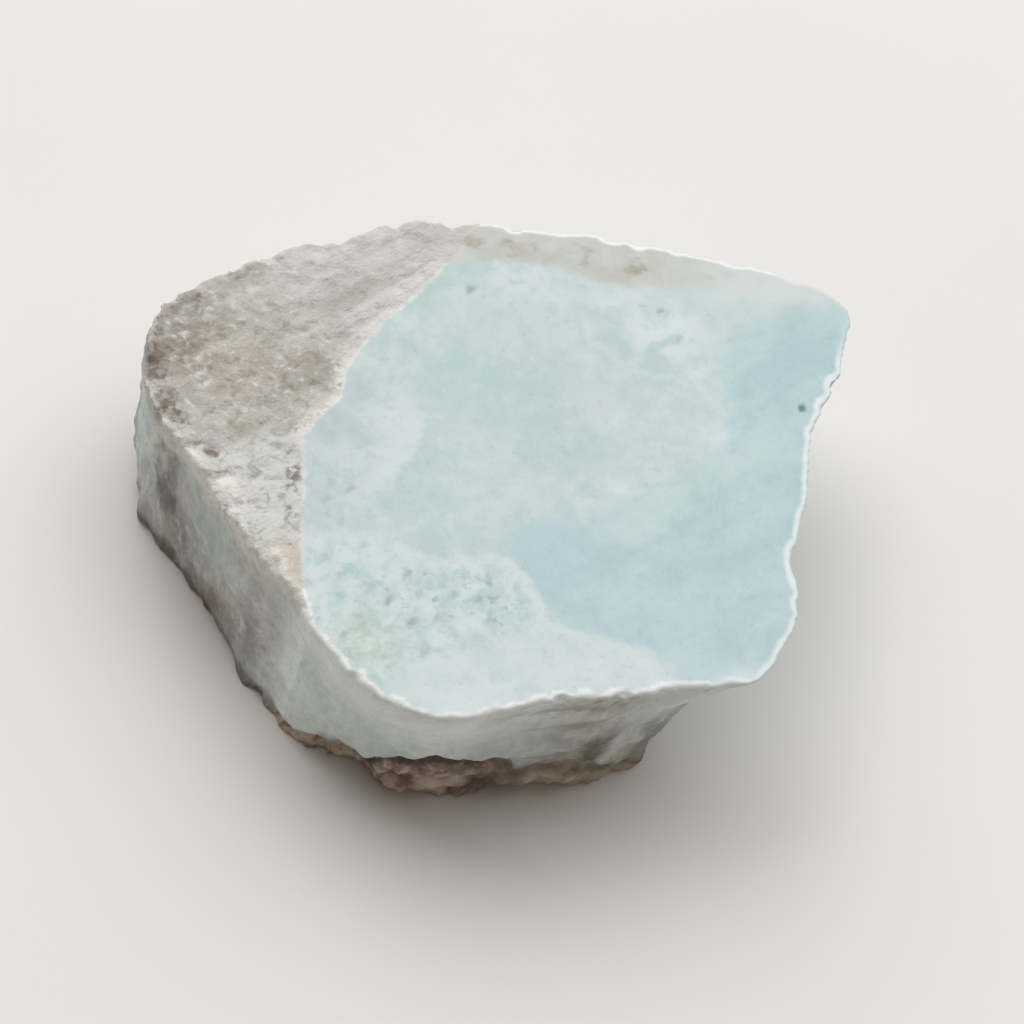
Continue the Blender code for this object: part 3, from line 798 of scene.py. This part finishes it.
def wall_colour(r, blues):
    """Weathered grey-green skin, fresh blue breaks, the rough back and the brown rind, with painted shade
    towards the front wall's foot and in the hollows, a partly painted highlight below the rim and painted
    light under the right corner.
    """
    streaked = r.stretched(squeeze=(1.0, 1.0, 0.45))
    wide = r.noise(4.5, 2.0, 0.5, 0.3, place=streaked, offset=31.0)
    middle = r.noise(1.4, 3.0, 0.6, place=streaked, offset=32.0)
    fine = r.noise(0.45, 2.0, 0.6, offset=33.0)
    mixed = r.sum(wide, r.times(middle, 0.7), r.times(fine, 0.4))
    skin = r.blend(r.step(mixed, -0.28, 0.28), srgb(186, 190, 184), srgb(216, 221, 216))
    blue_patch = r.step(r.noise(4.0, 1.0, 0.5, offset=34.0), 0.0, 0.2)
    skin = r.paint(skin, (200, 214, 216), blue_patch, 0.6)
    skin = r.paint(skin, (140, 139, 126), r.step(r.sum(fine, middle), -0.16, -0.42), 0.7)
    foot = r.times(r.field("stained"), r.step(mixed, 0.35, -0.25))
    skin = r.paint(skin, (134, 128, 119), foot, 0.9)
    rusty = blot(r, (-18.7, -4.0, 1.4), r.times(middle, 4.0), 4.2, 1.0)
    skin = r.paint(skin, (122, 104, 90), rusty, 0.6)
    bluish = blot(r, (-19.4, -2.8, 7.6), r.times(middle, 3.0), 4.0, 1.0)
    skin = r.paint(skin, (172, 186, 188), bluish, 0.6)
    clean_colour = r.blend(r.step(mixed, -0.3, 0.25), srgb(205, 217, 217), srgb(232, 241, 240))
    skin = r.blend(r.times(r.field("clean"), 0.85), skin, clean_colour)
    patch = r.noise(1.7, 3.0, 0.6, 0.5, offset=37.0)
    skin = r.paint(skin, (166, 170, 162), r.step(patch, -0.02, -0.22), 0.4)
    skin = r.paint(skin, (228, 234, 232), r.step(patch, 0.04, 0.22), 0.45)
    # Paler band of the clean wall below the rim: partly the stone's paler skin, partly a painted highlight
    # along the edge.
    pale_band_and_highlight = r.times(r.step(r.field("rim"), 5.0, 1.0), r.field("clean"), 0.8)
    skin = r.paint(skin, (240, 246, 244), pale_band_and_highlight)

    front = r.step(r.along("Y"), -9.0, -13.0)
    front_shade_part = r.times(front, r.step(r.along("X"), -8.5, -4.0), r.step(r.along("X"), 5.5, 2.5))
    # Painted shade: the middle of the front wall grows darker towards its foot.
    skin = r.paint(skin, (150, 153, 146), r.step(r.along("Z"), 11.3, 7.0), front_shade_part, 0.32)
    # Painted shade: darker patches on the right of that part of the front wall.
    painted_shade_patch = r.times(front_shade_part, r.step(r.along("X"), -4.0, -1.0), r.step(r.sum(patch, middle), 0.3, -0.2))
    skin = r.paint(skin, (122, 123, 114), painted_shade_patch, 0.2)
    layers = r.joined(r.times(r.along("X"), 0.2), r.times(r.along("Y"), 0.2), r.times(r.field("lie"), 1.4))
    layer = r.noise(1.4, 3.0, 0.65, 0.6, place=layers, offset=35.0)
    left_part = r.sum(0.15, r.times(r.step(r.along("X"), 5.5, 2.0), 0.85))
    dark_layer = r.times(r.field("layered"), r.step(layer, 0.02, -0.16), left_part, 0.6)
    skin = r.paint(skin, (134, 132, 120), dark_layer)
    pale_layer = r.times(r.field("layered"), r.step(layer, 0.06, 0.2), 0.35)
    skin = r.paint(skin, (206, 209, 203), pale_layer)
    under_rim = r.times(r.field("layered"), r.step(r.field("rim"), 2.2, 0.6))
    under_rim = r.times(under_rim, r.step(r.sum(patch, layer), 0.15, -0.12))
    skin = r.paint(skin, (150, 136, 122), under_rim, left_part, 0.6)
    squat = r.stretched(squeeze=(1.0, 1.0, 0.36))
    smudge = blot(r, (2.5, -17.2, 1.6), r.times(middle, 2.2), 1.7, 0.3, squat)
    lower_smudge = blot(r, (3.7, -16.7, 0.8), r.times(middle, 1.8), 1.3, 0.3, squat)
    smudge = r.math("MAXIMUM", smudge, lower_smudge)
    skin = r.paint(skin, (92, 96, 84), smudge, r.sum(0.8, r.times(fine, 0.8)))
    olive = blot(r, (6.2, -15.8, 0.9), r.times(patch, 2.6), 2.6, 1.0, squat)
    skin = r.paint(skin, (126, 120, 102), olive, 0.7)
    brown_foot = blot(r, (-12.3, -13.9, 1.7), r.times(middle, 2.6), 1.8, 0.5)
    skin = r.paint(skin, (116, 102, 92), brown_foot, 0.65)
    crack = blot(r, (-21.6, 2.6, 2.2), r.times(middle, 2.6), 1.5, 0.4, squat)
    skin = r.paint(skin, (84, 78, 68), crack, r.sum(0.7, r.times(fine, 0.8)))
    # Darker brown at the very foot: partly the rind's brown underside, partly painted contact shade.
    low = r.step(r.sum(r.along("Z"), r.times(middle, 2.0)), 1.6, 0.4)
    low = r.times(low, r.step(r.field("stained"), 0.0, 0.5))
    skin = r.paint(skin, (96, 84, 74), low, 0.8)

    colour = skin
    if blues is not None:
        broken = r.blend(r.step(r.sum(wide, r.times(middle, 0.5)), -0.2, 0.2), blues, srgb(208, 217, 217))
        broken = r.paint(broken, (221, 230, 230), r.step(r.field("rim"), 0.5, 0.1))
        colour = r.blend(r.field("fresh"), skin, broken)
    # Painted light: the upper front wall under the overhanging right corner is made paler, against the shade
    # it lies in.
    painted_light_under_corner = r.times(front, r.step(r.along("X"), 3.5, 7.5), r.step(r.along("Z"), 7.5, 9.5))
    colour = r.paint(colour, (228, 238, 236), painted_light_under_corner, 0.7)

    grainy = r.step(r.sum(middle, r.times(fine, 0.6)), -0.2, 0.2)
    rock = r.blend(grainy, srgb(140, 129, 115), srgb(200, 196, 188))
    rock = r.paint(rock, (192, 202, 200), r.step(wide, 0.02, 0.2))
    # Painted shade: the rough side darkens in its hollows.
    rock = r.paint(rock, (98, 86, 74), r.step(r.field("pit"), 0.03, 0.25), 0.6)
    ragged_rough = r.step(r.sum(r.field("rough"), r.times(middle, 0.5)), 0.45, 0.75)
    colour = r.blend(r.times(ragged_rough, r.invert(r.field("fresh"))), colour, rock)

    rind_edge = r.step(r.sum(r.field("rind"), r.times(middle, 0.7), r.times(fine, 0.5)), 0.2, -0.15)
    lump = r.noise(1.2, 3.0, 0.6, 0.5, offset=36.0)
    pebble = r.field("pebble")
    crumbs = r.noise(0.35, 2.0, 0.6, offset=38.0)
    rind = r.blend(r.step(lump, -0.12, 0.12), srgb(130, 106, 97), srgb(190, 172, 160))
    pebble_tops = r.times(r.step(r.sum(pebble, r.times(crumbs, 1.4)), 0.4, -0.1), 0.55)
    rind = r.paint(rind, (216, 202, 188), pebble_tops)
    rind = r.paint(rind, (84, 66, 58), r.step(r.sum(pebble, lump, crumbs), 0.45, 0.9), 0.6)
    pale_lump = blot(r, (-6.3, -17.2, 2.0), r.times(lump, 2.5), 2.0, 0.8)
    rind = r.paint(rind, (222, 208, 190), pale_lump, 0.6)
    # Painted shade: the rind darkens in its hollows and in the groove along its top.
    rind = r.paint(rind, (66, 50, 44), r.step(r.field("pit"), 0.06, 0.35), 0.75)
    greyer = r.times(r.step(r.along("X"), -5.0, -1.5), r.step(r.along("Y"), -10.0, -14.0))
    rind = r.paint(rind, (196, 185, 166), greyer, 0.62)
    dark_lump = blot(r, (-3.0, -17.1, 1.8), r.times(lump, 2.2), 2.6, 1.0)
    rind = r.paint(rind, (92, 68, 66), dark_lump, 0.6)
    tan_lip = r.step(r.vector("DISTANCE", r.place, (-14.4, -12.6, 0.8)), 4.8, 2.6)
    lumpy = r.step(r.sum(lump, r.times(crumbs, 0.8)), -0.2, 0.15)
    lip_colour = r.blend(lumpy, srgb(150, 132, 118), srgb(214, 198, 180))
    rind = r.blend(r.times(tan_lip, 0.85), rind, lip_colour)
    return r.blend(r.times(rind_edge, r.invert(r.times(r.field("fresh"), 0.7))), colour, rind)


def sawn_colour(r, zones, blues, fine, on_right):
    """The blues and the matrix, with the pale band at the back, the stains, the specks and the white rim,
    which is partly a painted highlight.
    """
    middle = r.noise(1.6, 2.0, 0.6, offset=42.0)
    edge_noise = r.sum(r.times(middle, 1.0), r.times(fine, 0.6))
    if "matrix" not in zones:
        matrix, top = 0.0, blues
    elif "blues" not in zones:
        matrix, top = 1.0, matrix_colour(r)
    else:
        matrix = r.step(r.sum(r.field("matrix"), edge_noise), -0.26, 0.02)
        top = r.blend(matrix, blues, matrix_colour(r))

    band = r.step(r.sum(r.field("band"), edge_noise), -0.35, 0.5)
    patchy = r.noise(1.6, 3.0, 0.6, 0.6, offset=43.0)
    beige = r.times(band, spot(r, 4.0, 16.5, 16.0, 9.0), r.step(patchy, 0.25, -0.2))
    top = r.paint(top, (198, 199, 194), band, 0.75)
    top = r.paint(top, (187, 184, 176), beige, 0.7)
    low_edge = r.step(r.math("ABSOLUTE", r.sum(r.field("band"), r.times(middle, 0.8), -0.7)), 0.9, 0.2)
    low_edge = r.times(low_edge, spot(r, 4.5, 16.0, 7.0, 4.0), r.step(patchy, 0.45, -0.1))
    top = r.paint(top, (172, 169, 158), low_edge, 0.3)
    stain = r.field("stains")
    blotch = r.noise(0.9, 2.0, 0.6, 0.5, place=r.stretched(squeeze=(0.7, 1.0, 1.0)), offset=44.0)
    blotted = r.step(r.sum(r.times(stain, 0.6), r.times(blotch, 1.5), r.times(fine, 0.8)), 0.1, 1.0)
    top = r.paint(top, (152, 144, 124), blotted, r.step(stain, 0.0, 0.5), band, 0.75)
    corner = r.step(r.sum(r.field("band"), r.times(edge_noise, 1.4)), -1.3, 0.2)
    corner = r.times(corner, spot(r, 20.0, 13.0, 9.0, 4.0))
    top = r.paint(top, (204, 213, 212), corner, 0.7)
    uneven = r.times(r.step(r.along("Y"), 11.0, 8.0), r.step(r.along("X"), 14.0, 10.0), 0.65)
    uneven = r.sum(0.25, uneven)
    uneven = r.times(uneven, r.sum(r.times(middle, 0.8), r.times(fine, 0.6)))
    bare = r.sum(r.field("rim"), r.times(on_right, -0.2), uneven)
    at_corner = r.times(spot(r, 21.5, 11.5, 5.0, 2.5), 0.7)
    # White rim along the edge of the sawn face: partly white chipped stone, partly a painted highlight on the
    # rounded edge.
    white_rim_and_highlight = r.times(r.step(bare, 0.5, 0.12), r.invert(r.times(matrix, 0.7)), r.invert(at_corner))
    rim_and_highlight_colour = r.blend(on_right, srgb(233, 236, 234), srgb(221, 230, 230))
    pale_corner = r.times(spot(r, 10.6, -18.0, 2.6, 1.0), r.step(edge_noise, -0.4, 0.2), 0.8)
    top = r.paint(top, (214, 221, 225), pale_corner)
    top = r.blend(r.times(white_rim_and_highlight, 0.95), top, rim_and_highlight_colour)
    return r.blend(r.field("specks"), top, srgb(98, 128, 126))


def larimar(name, zones):
    """The stone's material, with the nodes of the given zones."""
    r = Recipe(name)
    fine = r.noise(0.5, 2.0, 0.6, offset=41.0)
    on_right = r.times(r.step(r.along("X"), 9.0, 12.0), r.step(r.along("Y"), 11.0, 8.0))
    blues = sawn_blues(r) if "blues" in zones else None
    if "walls" not in zones:
        colour = sawn_colour(r, zones, blues, fine, on_right)
    elif blues is None:
        colour = wall_colour(r, None)
    else:
        top = sawn_colour(r, zones, blues, fine, on_right)
        colour = r.blend(r.field("sawn"), wall_colour(r, blues), top)
    fresh_chip = r.times(r.step(r.field("chip"), 0.02, 0.1), r.sum(0.85, r.times(on_right, -0.5)))
    colour = r.paint(colour, (226, 229, 226), fresh_chip)
    r.put(r.shader.inputs["Base Color"], colour)

    roughness = r.sum(0.55, r.times(fine, 0.25), r.times(r.invert(r.field("sawn")), 0.12))
    r.put(r.shader.inputs["Roughness"], roughness)
    r.shader.inputs["Specular IOR Level"].default_value = 0.3
    r.shader.inputs["IOR"].default_value = 1.6

    bump = r.tree.nodes.new("ShaderNodeBump")
    bump.inputs["Distance"].default_value = 0.2 * MM
    bump.inputs["Strength"].default_value = 0.8
    coarse = r.math("MAXIMUM", r.invert(r.field("sawn")), r.step(r.field("matrix"), -0.2, 0.1))
    relief = r.times(r.noise(0.45, 3.0, 0.65, offset=45.0), r.sum(0.06, r.times(coarse, 0.9)))
    r.put(bump.inputs["Height"], relief)
    r.put(r.shader.inputs["Normal"], bump.outputs["Normal"])
    return r.material


def material_slots(mesh, fields):
    """Each face's material, by the zones that its corners lie in."""
    corners = np.zeros(len(mesh.loops), np.int32)
    starts = np.zeros(len(mesh.polygons), np.int32)
    mesh.loops.foreach_get("vertex_index", corners)
    mesh.polygons.foreach_get("loop_start", starts)

    def least(name):
        return np.minimum.reduceat(fields[name][corners], starts)

    def most(name):
        return np.maximum.reduceat(fields[name][corners], starts)
    number = {name: i for i, (name, zones) in enumerate(MATERIALS)}
    slots = np.full(len(starts), number["larimar"], np.int32)
    on_top = least("sawn") >= 1.0
    slots[on_top & (most("matrix") < -CLEAR_OF_EDGE)] = number["larimar_blues"]
    slots[on_top & (least("matrix") > CLEAR_OF_EDGE)] = number["larimar_matrix"]
    slots[(most("sawn") <= 0.0) & (most("fresh") <= 0.0)] = number["larimar_walls"]
    return slots


def dress_stone():
    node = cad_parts["larimar_stone"]
    mesh = even_mesh(node)
    fields = carve(mesh, node)
    mesh.transform(Matrix.Scale(MM, 4))
    store(mesh, fields)
    mesh.materials.clear()
    for name, zones in MATERIALS:
        mesh.materials.append(larimar(name, zones))
    mesh.polygons.foreach_set("material_index", material_slots(mesh, fields))
    mesh.shade_smooth()
    mesh.name = "dressed_stone"
    stone = in_scene("dressed_stone", mesh)
    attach(stone, "root")
    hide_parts("larimar_stone")


def look_from(thing, place, aim, up):
    """Places a camera or a lamp at a point, facing another."""
    back = (place - aim).normalized()
    right = up.cross(back).normalized()
    turned = Matrix((right, back.cross(right), back)).transposed().to_4x4()
    turned.translation = place
    thing.matrix_world = turned


def add_table():
    mesh = bpy.data.meshes.new("table")
    half = 1.5
    corners = [(-half, -half, 0.0), (half, -half, 0.0), (half, half, 0.0), (-half, half, 0.0)]
    mesh.from_pydata(corners, [], [(0, 1, 2, 3)])
    r = Recipe("pale table")
    tint = r.step(r.noise(30.0, 3.0, 0.5, offset=51.0), -0.3, 0.3)
    r.put(r.shader.inputs["Base Color"], r.blend(tint, srgb(227, 225, 221), srgb(229, 228, 225)))
    r.shader.inputs["Roughness"].default_value = 0.75
    r.shader.inputs["Specular IOR Level"].default_value = 0.2
    mesh.materials.append(r.material)
    in_scene("table", mesh)


def add_lights():
    for name, bearing, height, size_x, size_y, power in LAMPS:
        lamp = bpy.data.lights.new(name, "AREA")
        lamp.shape = "RECTANGLE"
        lamp.size = size_x
        lamp.size_y = size_y
        lamp.energy = power
        lamp.color = LAMP_COLOUR
        left, up = math.radians(bearing), math.radians(height)
        toward = Vector((-math.sin(left) * math.cos(up), math.cos(left) * math.cos(up), math.sin(up)))
        place = CAMERA_AIM + toward * LAMP_DISTANCE
        look_from(in_scene(name, lamp), place, CAMERA_AIM, Vector((0.0, 0.0, 1.0)))
    world = bpy.data.worlds.new("soft room")
    world.use_nodes = True
    sky = world.node_tree.nodes["Background"]
    sky.inputs["Color"].default_value = (*FILL_COLOUR, 1.0)
    sky.inputs["Strength"].default_value = FILL_STRENGTH
    bpy.context.scene.world = world


def add_camera():
    camera = in_scene("camera", bpy.data.cameras.new("camera"))
    camera.data.lens = LENS
    camera.data.clip_start = 0.001
    up = Vector((0.0, math.sin(PHOTO_PITCH), math.cos(PHOTO_PITCH)))
    look_from(camera, CAMERA_PLACE, CAMERA_AIM, up)
    bpy.context.scene.camera = camera
    bpy.context.scene.view_settings.view_transform = "Standard"


dress_stone()
add_table()
add_lights()
add_camera()
